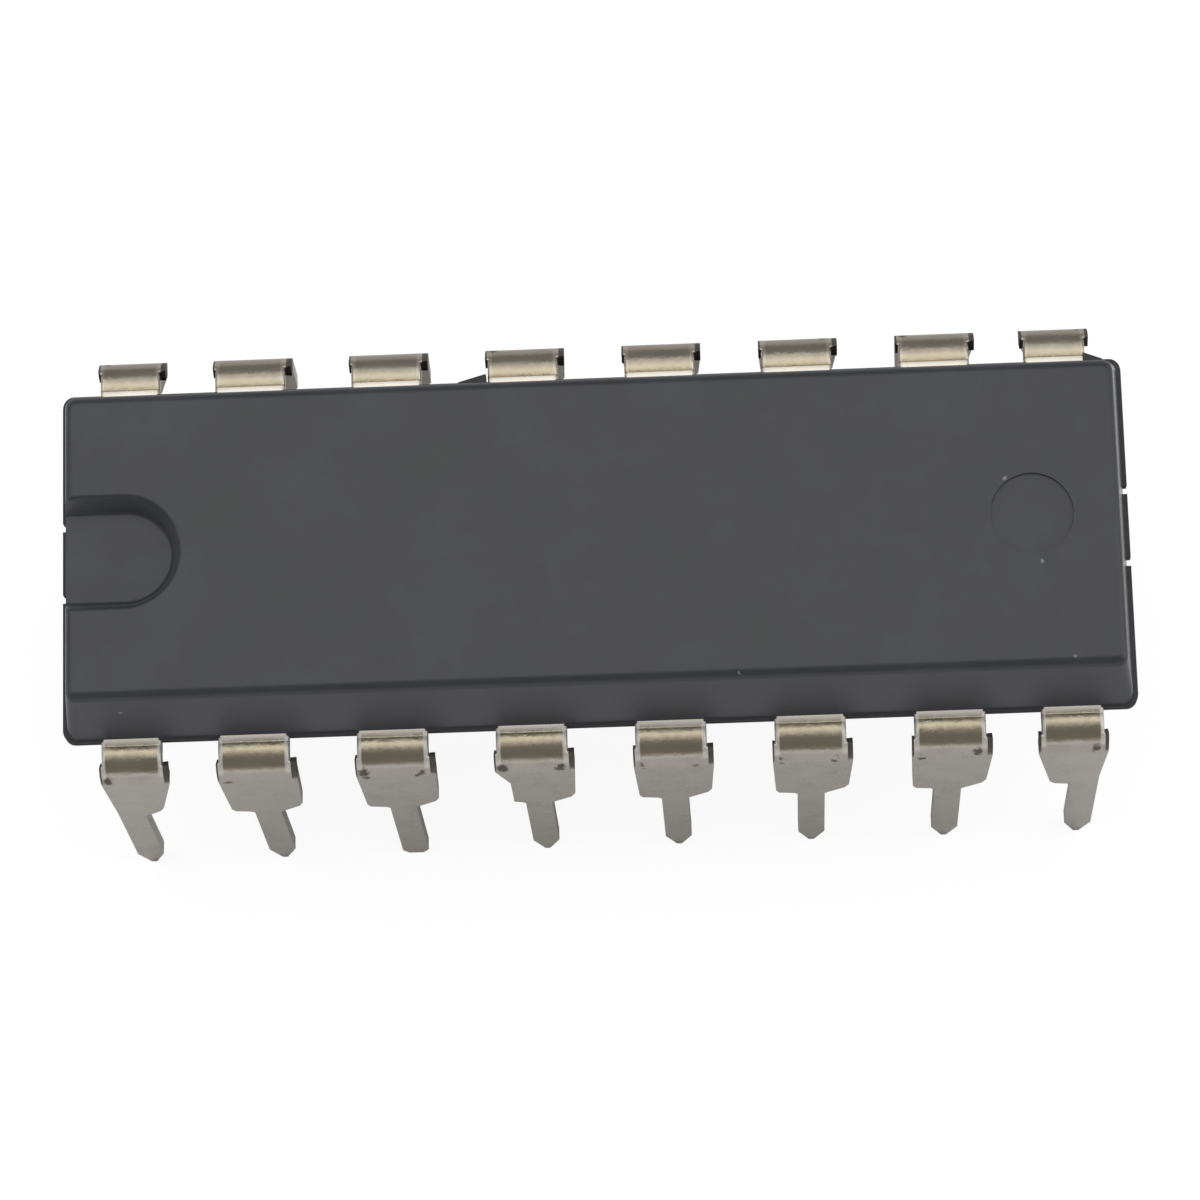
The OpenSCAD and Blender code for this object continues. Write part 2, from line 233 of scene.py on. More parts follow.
@dataclass(frozen=True)
class MouldingCompound:
    """Black epoxy filled with silica, transfer moulded in a spark-eroded cavity.

    To the eye it is a fine, even satin, nearly black in itself and grey by the light it reflects. It has faint clouds
    where the resin flowed and a few pale specks of filler. Its walls are painted paler, the recess walls paler still,
    as painted light, and its rougher edge where the two halves part is painted darker, as painted shade.
    """

    body: str = "2A2B30"
    cloud: str = "303239"
    warm: str = "2A2C2D"
    # The walls are painted paler than the top, as painted light
    wall: str = "393A40"
    # The recess walls are painted paler still, a painted highlight against the shade in the recess
    recess_painted_highlight: str = "46474C"
    # The parting edge is painted dark, as painted shade
    edge: str = "1B1B1C"
    fleck: str = "85868A"
    # Grain of the eroded cavity: really about 0.02 mm, drawn coarser so that it shows
    grain: float = 0.05
    # Clouds where the resin flowed
    flow: float = 1.8
    # Roughness of the top, and what the walls, the end walls, the grain and the parting edge add to it
    rough: float = 0.33
    rougher: tuple[float, float, float, float] = (0.1, -0.32, 0.12, 0.3)
    # Pale specks, 0.05 to 0.09 mm across, in place along the body, across it and in height
    specks: tuple[tuple[float, float, float], ...] = (
        (2.59, -2.75, 7.1), (8.6, -2.67, 7.13), (7.5, 0.67, 7.15), (-8.62, -2.98, 6.6), (8.1, -0.9, 7.15),
    )
    speck_size: float = 0.045
    # Height of the parting plane, and half of the height of its rough edge, which is painted dark as painted shade
    parting: float = 5.4948
    edge_height: float = 0.1
    # Where the end walls start, along the body
    end: float = 9.3
    # Middle and radius of a ball round the recess, in which the walls are painted paler still, a painted highlight
    # against the shade in the recess
    recess: tuple[float, float, float] = (-8.45, 0.0, 7.0)
    recess_reach: float = 1.75

    def material(self) -> Material:
        """Builds the material.

        Returns:
            The material.
        """
        material, tree = new_tree("epoxy_moulding_compound")
        place = object_place(tree)
        grain = noise(tree, place, self.grain, roughness=0.7)
        clouds = noise(tree, place, self.flow, 5.0, 0.65)
        tint = add_ramp(tree, clouds, [(0.32, self.warm), (0.5, self.body), (0.68, self.cloud)])
        grained = blend(tree, 0.2, tint, grain, "OVERLAY")
        # The end walls are smooth, and the walls are painted a little paler than the top and the underside, as painted
        # light
        normal = add_node(tree, "NewGeometry").outputs["True Normal"]
        level = calc(tree, "ABSOLUTE", part_of(tree, normal, "Z"))
        wall = map_range(tree, level, 0.35, 0.6, 1.0, 0.0)
        away = calc(tree, "ABSOLUTE", part_of(tree, place, "X"))
        facing = calc(tree, "ABSOLUTE", part_of(tree, normal, "X"))
        square = map_range(tree, facing, 0.75, 0.9, 0.0, 1.0)
        end = calc(tree, "MULTIPLY", calc(tree, "GREATER_THAN", away, self.end * MM), square)
        paler = blend(tree, wall, grained, paint(self.wall))
        inner = calc(tree, "MAXIMUM", calc(tree, "SUBTRACT", wall, end), 0.0)
        # Within the ball round the recess, the walls get a painted highlight against the shade that falls there
        middle = [v * MM for v in self.recess]
        at_recess = calc(tree, "LESS_THAN", distance(tree, place, middle), self.recess_reach * MM)
        recess_highlighted = blend(tree, calc(tree, "MULTIPLY", inner, at_recess), paler, paint(self.recess_painted_highlight))
        flecked = blend(tree, self.speck_mask(tree, place, grain), recess_highlighted, paint(self.fleck))
        # The rough parting edge is painted dark, as painted shade, and is also made rougher
        above = calc(tree, "SUBTRACT", part_of(tree, place, "Z"), self.parting * MM)
        rim = map_range(tree, calc(tree, "ABSOLUTE", above), self.edge_height * MM, 1.5 * self.edge_height * MM, 1.0,
                        0.0, "SMOOTHSTEP")
        colour = blend(tree, rim, flecked, paint(self.edge))
        rough: float | Socket = self.rough
        for mask, more in zip((wall, end, grain, rim), self.rougher):
            rough = calc(tree, "MULTIPLY_ADD", mask, more, rough)
        connect(tree, colour, rough, add_bump(tree, grain, 0.22, 0.004))
        tree.nodes[SHADER].inputs["IOR"].default_value = 1.55
        return material

    def speck_mask(self, tree: Tree, place: Socket, grain: Socket) -> Socket:
        """Marks the pale specks.

        Args:
            tree: The material's node tree.
            place: Object coordinates.
            grain: Noise that makes the specks ragged.

        Returns:
            A socket that is up to 1 in a speck and 0 elsewhere.
        """
        ragged = map_range(tree, grain, 0.3, 0.7, 0.6, 1.4)
        radius = self.speck_size * MM
        dots = []
        for speck in self.specks:
            away = calc(tree, "MULTIPLY", distance(tree, place, [v * MM for v in speck]), ragged)
            dots.append(map_range(tree, away, 0.4 * radius, radius, 0.8, 0.0, "SMOOTHSTEP"))
        return largest(tree, dots)


@dataclass(frozen=True)
class TinPlate:
    """Dull tin, electroplated on rolled copper alloy strip before the leads are formed.

    To the eye it is a warm grey satin with fine rolling lines. Over the bend the plate is a little uneven, and bands
    of straw and brown are painted across it, a painted highlight and a painted reflection. Dark smears lie just under
    the bend, where the punch that cut the dam bar dragged along the plate. The rear row is painted paler, a painted
    highlight, and straw and brown all the way round the bend. Both side edges carry a painted highlight, and the
    crease across the shoulder a painted shade.
    """

    tin: str = "B4AFA7"
    dull: str = "A9A39B"
    # The rear row's paler tin is a painted highlight
    rear_tin_highlight: str = "DAD3C9"
    # The side edges' colour is a painted highlight
    rim: str = "D4D0C9"
    # Straw is a painted highlight, and the browns are a painted reflection, over the bend
    straw: str = "B3AA92"
    brown: str = "978D7C"
    rear_brown_reflection: str = "9A9285"
    # The crease's colour is a painted shade
    crease: str = "7C6A4E"
    smear: str = "5A534C"
    # Rolling lines: really about 0.01 mm apart, drawn coarser and 14 times as long as they are apart
    line_length: float = 0.03 / 0.07
    line_squeeze: float = 14.0
    # Patches of duller plate, and the unevenness of the stretched plate
    patch: float = 0.5
    ripple: float = 0.16
    # Painted shade in the crease across the shoulder, which is darker on the rear row
    crease_at: float = -0.14
    crease_front: float = 0.3
    crease_rear: float = 0.65
    # Where the painted highlight on the side edges starts, across the strip, how far down it goes, and how much the
    # rear row lacks it
    rim_from: float = 0.57
    rim_end: float = 0.36
    rim_lost: float = 0.85
    # Where the torn stubs start, across the strip, and how far down they are dark
    stub_from: float = 0.668
    stub_end: float = 0.55
    # Places along the strip from the start of the bend: painted highlight in straw from the first to the second,
    # painted reflection in brown up to the third
    bands: tuple[float, float, float] = (-0.125, 0.055, 0.335)
    # How far the ripples carry the ends of the bands along the strip
    wander: float = 0.09
    # Smears: place across and along the strip, and size
    smears: tuple[tuple[float, float, float], ...] = (
        (0.5, 0.46, 0.07), (-0.55, 0.44, 0.07), (-0.52, 0.6, 0.05), (0.42, 0.56, 0.03),
    )
    # Teeth of a smear's ragged edge, and the distance over which smears grow and vanish
    tooth: float = 0.07
    luck: float = 1.3

    def material(self) -> Material:
        """Builds the material. It reads the piece's own map "strip", across and along the strip in millimetres.

        Returns:
            The material.
        """
        material, tree = new_tree("tin_plated_strip")
        place = object_place(tree)
        strip = add_node(tree, "UVMap", {"uv_map": "strip"}).outputs["UV"]
        along = part_of(tree, strip, "Y")
        across = calc(tree, "ABSOLUTE", part_of(tree, strip, "X"))
        patches = noise(tree, place, self.patch, 4.0, 0.6)
        ripples = noise(tree, place, self.ripple, 3.0, 0.6)
        lines = noise(tree, stretched(tree, place, self.line_squeeze), self.line_length, 3.0, 0.6)
        # 0 on the front row and 1 on the rear row
        row = map_range(tree, part_of(tree, place, "Y"), -MM, MM, 0.0, 1.0)
        wobble = calc(tree, "MULTIPLY_ADD", ripples, self.wander, along)
        # Bands over the bend: straw is a painted highlight and brown a painted reflection, which on the rear row run
        # all the way down
        straw = step(tree, wobble, self.bands[0], 0.06, 0.0, 1.0)
        brown = step(tree, wobble, self.bands[1], 0.08, 0.0, 1.0)
        bare = step(tree, wobble, self.bands[2], 0.08, 1.0, 0.0)
        # Both side edges of the shoulder and the bend carry a painted highlight
        side = step(tree, across, self.rim_from, 0.03, 0.0, 1.0)
        bright = calc(tree, "MULTIPLY", side, step(tree, along, self.rim_end, 0.08, 1.0, 0.0))
        rim = calc(tree, "MULTIPLY", bright, calc(tree, "MULTIPLY_ADD", row, -self.rim_lost, 1.0))
        inside = calc(tree, "SUBTRACT", 1.0, rim)
        share = calc(tree, "MULTIPLY", calc(tree, "MULTIPLY", straw, largest(tree, (bare, row))), inside)
        # The rear row's tin is painted paler, a painted highlight
        tin = blend(tree, row, add_ramp(tree, patches, [(0.35, self.dull), (0.65, self.tin)]), paint(self.rear_tin_highlight))
        tone = blend(tree, row, paint(self.brown), paint(self.rear_brown_reflection))
        plated = blend(tree, share, tin, blend(tree, brown, paint(self.straw), tone))
        edge_highlighted = blend(tree, rim, plated, paint(self.rim))
        # A painted shade in the crease across the shoulder
        beside = calc(tree, "ABSOLUTE", calc(tree, "SUBTRACT", along, self.crease_at))
        deep = calc(tree, "MULTIPLY_ADD", row, self.crease_rear, self.crease_front)
        crease_shade = calc(tree, "MULTIPLY", calc(tree, "MULTIPLY", deep, step(tree, beside, 0.03, 0.03, 1.0, 0.0)), inside)
        crease_shaded = blend(tree, crease_shade, edge_highlighted, paint(self.crease))
        outside = step(tree, across, self.stub_from, 0.01, 0.0, 0.9)
        torn = calc(tree, "MULTIPLY", outside, step(tree, wobble, self.stub_end, 0.12, 1.0, 0.0))
        dirt = largest(tree, (torn, self.smear_mask(tree, place, strip)))
        rough = calc(tree, "MULTIPLY_ADD", dirt, 0.3, map_range(tree, patches, 0.3, 0.7, 0.24, 0.34))
        softer = calc(tree, "MULTIPLY_ADD", rim, 0.25, rough)
        uneven = calc(tree, "MULTIPLY", calc(tree, "SUBTRACT", ripples, 0.5), share)
        bump = add_bump(tree, uneven, 0.4, 0.02, Normal=add_bump(tree, lines, 0.2, 0.002))
        connect(tree, blend(tree, dirt, crease_shaded, paint(self.smear)), softer, bump, metallic=1.0)
        return material

    def smear_mask(self, tree: Tree, place: Socket, strip: Socket) -> Socket:
        """Marks the dark smears, larger on some leads and missing on others.

        Args:
            tree: The material's node tree.
            place: Object coordinates.
            strip: The map of the strip.

        Returns:
            A socket that is up to 1 in a smear and 0 elsewhere.
        """
        ragged_edge = noise(tree, place, self.tooth, roughness=0.6)
        dots = []
        for number, (x, y, size) in enumerate(self.smears):
            moved = add_node(tree, "Mapping", Vector=place, Location=(0.013 * number, 0.0, 0.0)).outputs[0]
            grown = map_range(tree, noise(tree, moved, self.luck, 0.0), 0.42, 0.56, 0.0, size + 0.1)
            ragged = calc(tree, "MULTIPLY_ADD", ragged_edge, 0.2, distance(tree, strip, (x, y, 0.0)))
            depth = calc(tree, "SUBTRACT", grown, ragged)
            dots.append(map_range(tree, depth, -0.06, 0.02, 0.0, 0.9, "SMOOTHSTEP"))
        return largest(tree, dots)


@dataclass(frozen=True)
class ShearedStrip:
    """Copper alloy strip where a punch has cut it after plating: the stubs of the dam bar and the tips.

    To the eye it is dark brown, torn and oxidised, with paler burnished patches.
    """

    torn: str = "3B332C"
    burnished: str = "7A6450"
    # Torn and burnished patches of about 0.12 mm
    tear: float = 0.12

    def material(self) -> Material:
        """Builds the material.

        Returns:
            The material.
        """
        material, tree = new_tree("sheared_copper_alloy")
        place = object_place(tree)
        tears = noise(tree, place, self.tear, 4.0, 0.7)
        colour = add_ramp(tree, tears, [(0.4, self.torn), (0.75, self.burnished)])
        rough = map_range(tree, tears, 0.3, 0.7, 0.65, 0.4)
        connect(tree, colour, rough, add_bump(tree, tears, 0.5, 0.01), metallic=1.0)
        return material


@dataclass(frozen=True)
class BareStrip:
    """Copper alloy strip as rolled, under the resin, where it was never plated with tin.

    To the eye it is a soft copper satin with long rolling lines.
    """

    copper: str = "B98F6E"
    shade: str = "9C7758"
    # Rolling lines: really about 0.01 mm apart, drawn coarser and 20 times as long as they are apart
    line_length: float = 0.6
    line_squeeze: float = 20.0

    def material(self) -> Material:
        """Builds the material.

        Returns:
            The material.
        """
        material, tree = new_tree("rolled_copper_alloy")
        place = object_place(tree)
        lines = noise(tree, stretched(tree, place, self.line_squeeze), self.line_length, 4.0)
        colour = add_ramp(tree, lines, [(0.35, self.shade), (0.65, self.copper)])
        rough = map_range(tree, lines, 0.3, 0.7, 0.42, 0.3)
        connect(tree, colour, rough, add_bump(tree, lines, 0.3, 0.003), metallic=1.0)
        return material


@dataclass(frozen=True)
class SilverEpoxy:
    """Epoxy paste filled with silver flakes, cured under the die.

    To the eye it is a pale grey with a fine glitter.
    """

    paste: str = "A9A9A4"
    flake: str = "DADAD6"
    # Flakes of about 0.02 mm
    grit: float = 0.02

    def material(self) -> Material:
        """Builds the material.

        Returns:
            The material.
        """
        material, tree = new_tree("silver_filled_epoxy")
        place = object_place(tree)
        flakes = add_node(tree, "TexVoronoi", Vector=place, Scale=1 / (self.grit * MM)).outputs["Distance"]
        colour = add_ramp(tree, flakes, [(0.2, self.flake), (0.6, self.paste)])
        rough = map_range(tree, flakes, 0.1, 0.7, 0.3, 0.6)
        connect(tree, colour, rough, add_bump(tree, flakes, 0.4, 0.004), metallic=0.6)
        return material


@dataclass(frozen=True)
class SiliconWafer:
    """Silicon sawn from a polished wafer, with its printed layers under glass.

    To the eye it is a dark blue-grey mirror with a grid of fine coloured blocks.
    """

    silicon: str = "3E4654"
    block: str = "5C6A62"
    wiring: str = "8B8F96"
    # Blocks of circuit about 0.16 mm long, and traces of wiping about 0.3 mm apart
    cell: float = 0.16
    wipe: float = 0.3

    def material(self) -> Material:
        """Builds the material.

        Returns:
            The material.
        """
        material, tree = new_tree("polished_silicon")
        place = object_place(tree)
        grid = add_node(tree, "TexBrick", {"offset": 0.37}, Vector=place, Color1=paint(self.silicon),
                        Color2=paint(self.block), Mortar=paint(self.wiring), Scale=1 / (self.cell * MM),
                        Mortar_Size=0.04)
        rough = map_range(tree, noise(tree, place, self.wipe), 0.3, 0.7, 0.12, 0.24)
        bump = add_bump(tree, grid.outputs["Fac"], 0.3, 0.002)
        connect(tree, grid.outputs["Color"], rough, bump, metallic=0.3)
        return material


@dataclass(frozen=True)
class GoldWire:
    """Fine gold wire, drawn through a diamond die and bonded with heat and ultrasound.

    To the eye it is a rich warm yellow with faint drawing lines.
    """

    gold: str = "E3B65A"
    shade: str = "C4923F"
    # Drawing marks of about 0.01 mm
    mark: float = 0.01

    def material(self) -> Material:
        """Builds the material.

        Returns:
            The material.
        """
        material, tree = new_tree("drawn_gold")
        place = object_place(tree)
        marks = noise(tree, place, self.mark)
        colour = add_ramp(tree, marks, [(0.35, self.shade), (0.65, self.gold)])
        rough = map_range(tree, marks, 0.3, 0.7, 0.3, 0.2)
        connect(tree, colour, rough, add_bump(tree, marks, 0.2, 0.001), metallic=1.0)
        return material


# Modelling by hand


def deselect_all() -> None:
    """Leaves edit mode and deselects every object."""
    if bpy.context.object and bpy.context.object.mode != "OBJECT":
        bpy.ops.object.mode_set(mode="OBJECT")
    bpy.ops.object.select_all(action="DESELECT")


def select_only(piece: Thing) -> None:
    """Makes a piece the only one that is selected, and the active one.

    Args:
        piece: The piece.
    """
    deselect_all()
    bpy.context.view_layer.objects.active = piece
    piece.select_set(True)


def start_piece(name: str) -> Thing:
    """Names the primitive that was just added, and goes into edit mode on it.

    Args:
        name: Its name.

    Returns:
        The piece.
    """
    piece = bpy.context.object
    piece.name = name
    piece.data.name = name
    bpy.ops.object.mode_set(mode="EDIT")
    return piece


def start_block(name: str, place: Sequence[float], size: Sequence[float]) -> Thing:
    """Adds a block and goes into edit mode on it.

    Args:
        name: Its name.
        place: Its middle.
        size: Its three sides.

    Returns:
        The block.
    """
    deselect_all()
    bpy.ops.mesh.primitive_cube_add(size=1.0, location=place)
    block = start_piece(name)
    bpy.ops.transform.resize(value=size)
    return block


def pick(piece: Thing, part: Part, test: Callable[[Any], bool]) -> None:
    """Selects the points or edges of the piece in edit mode that pass a test, and nothing else.

    Args:
        piece: The piece in edit mode.
        part: Points or edges.
        test: Takes a mesh element, in the piece's own coordinates, and says whether it is wanted.
    """
    bpy.ops.mesh.select_mode(type=("VERT", "EDGE")[part.value])
    bpy.ops.mesh.select_all(action="DESELECT")
    mesh = bmesh.from_edit_mesh(piece.data)
    for item in (mesh.verts, mesh.edges)[part.value]:
        if test(item):
            item.select_set(True)
    mesh.select_flush_mode()
    bmesh.update_edit_mesh(piece.data)


def near(value: float, wanted: float) -> bool:
    """Says whether a length is the wanted one."""
    return abs(value - wanted) < SLACK


def extrude(x: float = 0.0, y: float = 0.0, z: float = 0.0) -> None:
    """Extrudes what is selected along a vector."""
    bpy.ops.mesh.extrude_region_move(TRANSFORM_OT_translate={"value": (x, y, z)})


def shift(x: float = 0.0, y: float = 0.0, z: float = 0.0) -> None:
    """Moves what is selected along a vector."""
    bpy.ops.transform.translate(value=(x, y, z))


def scale_about(point: Sequence[float], x: float = 1.0, y: float = 1.0) -> None:
    """Scales what is selected along X and Y about a point."""
    bpy.ops.transform.resize(value=(x, y, 1.0), center_override=tuple(point))


def round_edges(radius: float, segments: int) -> None:
    """Rounds the selected edges."""
    bpy.ops.mesh.bevel(offset=radius, segments=segments, affect="EDGES")


def merge_points() -> None:
    """Merges doubled points of the piece in edit mode."""
    bpy.ops.mesh.select_all(action="SELECT")
    bpy.ops.mesh.remove_doubles(threshold=SLACK / 4)


def tidy_mesh() -> None:
    """Merges doubled points of the piece in edit mode, turns its faces outwards and leaves edit mode."""
    merge_points()
    bpy.ops.mesh.normals_make_consistent(inside=False)
    bpy.ops.object.mode_set(mode="OBJECT")


def use_modifier(piece: Thing, kind: str, **settings: Any) -> None:
    """Adds a modifier with its settings, and applies it.

    Args:
        piece: The piece it works on.
        kind: Blender's type of modifier.
        **settings: Its properties.
    """
    modifier = piece.modifiers.new(kind.lower(), kind)
    for name, value in settings.items():
        setattr(modifier, name, value)
    select_only(piece)
    bpy.ops.object.modifier_apply(modifier=modifier.name)


def combine(piece: Thing, tool: Thing, operation: str) -> None:
    """Cuts a piece with a tool (DIFFERENCE) or adds the tool to it (UNION), and removes the tool."""
    use_modifier(piece, "BOOLEAN", operation=operation, solver="EXACT", object=tool)
    bpy.data.objects.remove(tool)


def add_copy(name: str, data: bpy.types.Mesh, place: Matrix) -> Thing:
    """Adds an object with its own copy of a mesh.

    Args:
        name: Its name.
        data: The mesh.
        place: Where the copy goes.

    Returns:
        The object.
    """
    piece = bpy.data.objects.new(name, data.copy())
    bpy.context.scene.collection.objects.link(piece)
    piece.data.transform(place)
    return piece


def finish_piece(piece: Thing, nodes: Sequence[str], smooth: float) -> None:
    """Brings a piece down to metres, shades it smooth, and ties it to the frame.

    Args:
        piece: The finished piece, modelled with a unit to the millimetre.
        nodes: The CAD nodes that it stands for.
        smooth: Edges sharper than this many degrees stay sharp.
    """
    select_only(piece)
    bpy.ops.transform.resize(value=(MM, MM, MM), center_override=(0.0, 0.0, 0.0))
    bpy.ops.object.transform_apply(location=True, rotation=True, scale=True)
    bpy.ops.object.shade_smooth_by_angle(angle=math.radians(smooth))
    # Flat faces keep their own normal, so that the narrow roundings beside them don't shade them
    use_modifier(piece, "WEIGHTED_NORMAL", keep_sharp=True, weight=100)
    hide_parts(*nodes)
    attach(piece, "root")


# The package


@dataclass(frozen=True)
class Strip:
    """Sizes of the stamped strip that the leads are formed from, which the moulded body shares."""

    leads_in_row: int = 8
    pitch: float = 2.54
    thick: float = 0.25
    # Height of the strip's middle above the tips
    height: float = 5.4948
    # Where the bends start, from the middle of the body, and their inner radius
    bend_start: float = 3.52
    bend_radius: float = 0.25

    @property
    def top(self) -> float:
        """Height of the strip's upper face."""
        return self.height + self.thick / 2

    @property
    def bottom(self) -> float:
        """Height of the strip's lower face."""
        return self.height - self.thick / 2

    @property
    def pins(self) -> range:
        """Numbers of the leads."""
        return range(1, 2 * self.leads_in_row + 1)

    def lead_x(self, pin: int) -> float:
        """Place along X of a lead, numbered anticlockwise from the recess."""
        column = pin - 1 if pin <= self.leads_in_row else 2 * self.leads_in_row - pin
        return (column - (self.leads_in_row - 1) / 2) * self.pitch

    def row(self, pin: int) -> Row:
        """Row of a lead."""
        return Row.FRONT if pin <= self.leads_in_row else Row.REAR


@dataclass
class MouldedBody:
    """The block of epoxy round the lead frame: two drafted halves on a parting ridge, with the pin 1 recess."""

    strip: Strip
    half_length: float = 9.81
    half_width: float = 3.29
    above: float = 1.53
    below: float = 1.52
    side_draft: float = 14.0
    end_draft: float = 7.0
    # Rounding of the upright edges, and of the edges of the top and the underside
    corner_radius: float = 0.2
    edge_radius: float = 0.164
    edge_steps: int = 6
    ridge: float = 0.08
    # Along the long walls the ridge is mostly trimmed away with the dam bar
    ridge_long: float = 0.04
    # The ridge is a little thinner than the strip, which passes through it
    ridge_gap: float = 0.004
    recess_width: float = 2.06
    recess_length: float = 2.34
    recess_depth: float = 0.46
    recess_draft: float = 20.0
    recess_offset: float = 0.11
    recess_fillet: float = 0.07
    mark_radius: float = 0.75
    mark_depth: float = 0.05
    mark_x: float = 7.96
    under_marks: float = 6.0
    round_sides: int = 96
    tie_width: float = 0.16
    tie_depth: float = 0.09
    tie_places: tuple[float, float] = (-0.58, 0.78)
    # Corners of flash beside leads 9 and 13: where each starts along X, its way along X, and its length
    flash_corners: tuple[tuple[float, int, float], ...] = ((9.105, 1, 0.38), (-1.925, -1, 0.52))
    flash_reach: float = 0.16
    # How much of its reach the far end of a corner of flash has lost
    flash_slant: float = 0.9
    # How much the mouth of the recess and the other sharp edges are softened by the cavity's own corners
    mouth: float = 0.07
    soften: float = 0.03
    # How far the tools of the recess stand out, and how far under the top its mouth may reach
    over: float = 0.1
    under: float = 0.03
    # Angle in radians between the faces at an edge of the mouth, at the least
    mouth_turn: float = 0.6
    # Edges that turn by more than so many degrees are softened, and shaded sharp
    sharp: float = 42.0
    smooth: float = 35.0

    def build(self) -> Thing:
        """Models the body and ties it to the frame.

        Returns:
            The finished piece.
        """
        piece = self.stack()
        for tool in self.flash():
            combine(piece, tool, "UNION")
        for tool in (self.recess(), *self.marks(), *self.tie_slots()):
            combine(piece, tool, "DIFFERENCE")
        self.soften_mouth(piece)
        use_modifier(piece, "BEVEL", width=self.soften, segments=2, limit_method="ANGLE",
                     angle_limit=math.radians(self.sharp), use_clamp_overlap=True, miter_outer="MITER_ARC")
        finish_piece(piece, ["moulded_body"], self.smooth)
        return piece

    def stack(self) -> Thing:
        """Extrudes the block up from its underside: lower half, parting ridge and upper half.

        Returns:
            The block, with its long edges rounded.
        """
        low, high = self.strip.bottom + self.ridge_gap, self.strip.top - self.ridge_gap
        bottom, top = self.strip.bottom - self.below, self.strip.top + self.above
        wall_x, wall_y = self.half_length - self.ridge, self.half_width - self.ridge_long
        lean_x = math.tan(math.radians(self.end_draft))
        lean_y = math.tan(math.radians(self.side_draft)) + (self.ridge - self.ridge_long) / self.above
        # Height and half sizes of each level on the way up
        levels = [
            (bottom, wall_x - (low - bottom) * lean_x, wall_y - (low - bottom) * lean_y),
            (low, wall_x, wall_y),
            (low, self.half_length, self.half_width),
            (high, self.half_length, self.half_width),
            (high, wall_x, wall_y),
            (top, wall_x - (top - high) * lean_x, wall_y - (top - high) * lean_y),
        ]
        deselect_all()
        bpy.ops.mesh.primitive_plane_add(size=2.0, location=(0.0, 0.0, bottom))
        piece = start_piece("body_moulding")
        bpy.ops.transform.resize(value=(levels[0][1], levels[0][2], 1.0))
        bpy.ops.mesh.bevel(offset=self.corner_radius, segments=self.edge_steps, affect="VERTICES")
        bpy.ops.mesh.select_all(action="SELECT")
        for (z0, x0, y0), (z1, x1, y1) in zip(levels, levels[1:]):
            extrude(z=z1 - z0)
            scale_about((0.0, 0.0, z1), x1 / x0, y1 / y0)
        # The piece's own heights start at its underside
        for rise in (0.0, top - bottom):
            pick(piece, Part.EDGE, lambda edge: all(near(v.co.z, rise) for v in edge.verts))
            round_edges(self.edge_radius, self.edge_steps)
        tidy_mesh()
        return piece

    def recess(self) -> Thing:
        """Models the tool that cuts the pin 1 recess: a cone of small draft, drawn out through the end wall.

        Returns:
            The tool.
        """
        lean = math.tan(math.radians(self.recess_draft))
        floor = self.recess_width / 2 - self.recess_depth * lean
        height = self.recess_depth + self.over
        centre = (self.recess_length - self.recess_width / 2 - self.half_length, -self.recess_offset,
                  self.strip.top + self.above - self.recess_depth + height / 2)
        deselect_all()
        bpy.ops.mesh.primitive_cone_add(vertices=self.round_sides, radius1=floor, radius2=floor + height * lean,
                                        depth=height, location=centre)
        tool = start_piece("recess_tool")
        pick(tool, Part.EDGE, lambda edge: all(v.co.z < 0 for v in edge.verts))
        round_edges(self.recess_fillet, 4)
        pick(tool, Part.POINT, lambda point: point.co.x < -SLACK / 2)
        shift(x=-self.half_length)
        tidy_mesh()
        return tool

    def soften_mouth(self, piece: Thing) -> None:
        """Rounds the upper edge of the recess.

        Args:
            piece: The body.
        """
        rise = self.strip.thick + self.above + self.below - self.ridge_gap
        end = self.recess_length - self.half_length + self.over
        half = self.recess_width / 2 + self.over

        def at_mouth(point: Any) -> bool:
            """Says whether a point of the body lies at the mouth of the recess."""
            place = point.co
            return place.z > rise - self.under and place.x < end and abs(place.y + self.recess_offset) < half

        select_only(piece)
        bpy.ops.object.mode_set(mode="EDIT")
        pick(piece, Part.EDGE,
             lambda edge: all(map(at_mouth, edge.verts)) and edge.calc_face_angle(0.0) > self.mouth_turn)
        round_edges(self.mouth, 4)
        tidy_mesh()

    def marks(self) -> list[Thing]:
        """Models the tools that press the round ejector-pin marks, one in the top and two in the underside.

        Returns:
            The tools.
        """
        top, bottom = self.strip.top + self.above, self.strip.bottom - self.below
        tools = []
        for x, z in ((self.mark_x, top), (-self.under_marks, bottom), (self.under_marks, bottom)):
            deselect_all()
            bpy.ops.mesh.primitive_cylinder_add(vertices=self.round_sides, radius=self.mark_radius,
                                                depth=2 * self.mark_depth, location=(x, 0.0, z))
            tools.append(start_piece("mark_tool"))
            tidy_mesh()
        return tools

    def tie_slots(self) -> list[Thing]:
        """Models the tools that cut the ridge where the tie bars of the die pad were sheared off.

        Returns:
            The tools.
        """
        tools = []
        for x in (-self.half_length, self.half_length):
            for y in self.tie_places:
                size = (2 * self.tie_depth, self.tie_width, self.strip.thick)
                tools.append(start_block("tie_tool", (x, y, self.strip.height), size))
                tidy_mesh()
        return tools

    def flash(self) -> list[Thing]:
        """Models the two thin corners of resin that leaked out beside the leads.

        Returns:
            The corners.
        """
        corners = []
        for start, way, length in self.flash_corners:
            corner = start_block("flash_tool", (start + way * length / 2, self.half_width, self.strip.height),
                                 (length, 2 * self.flash_reach, self.strip.thick - 2 * self.ridge_gap))
            pick(corner, Part.POINT, lambda point: point.co.y > 0 and point.co.x * way > 0)
            shift(y=-self.flash_slant * self.flash_reach)
            tidy_mesh()
            corners.append(corner)
        return corners


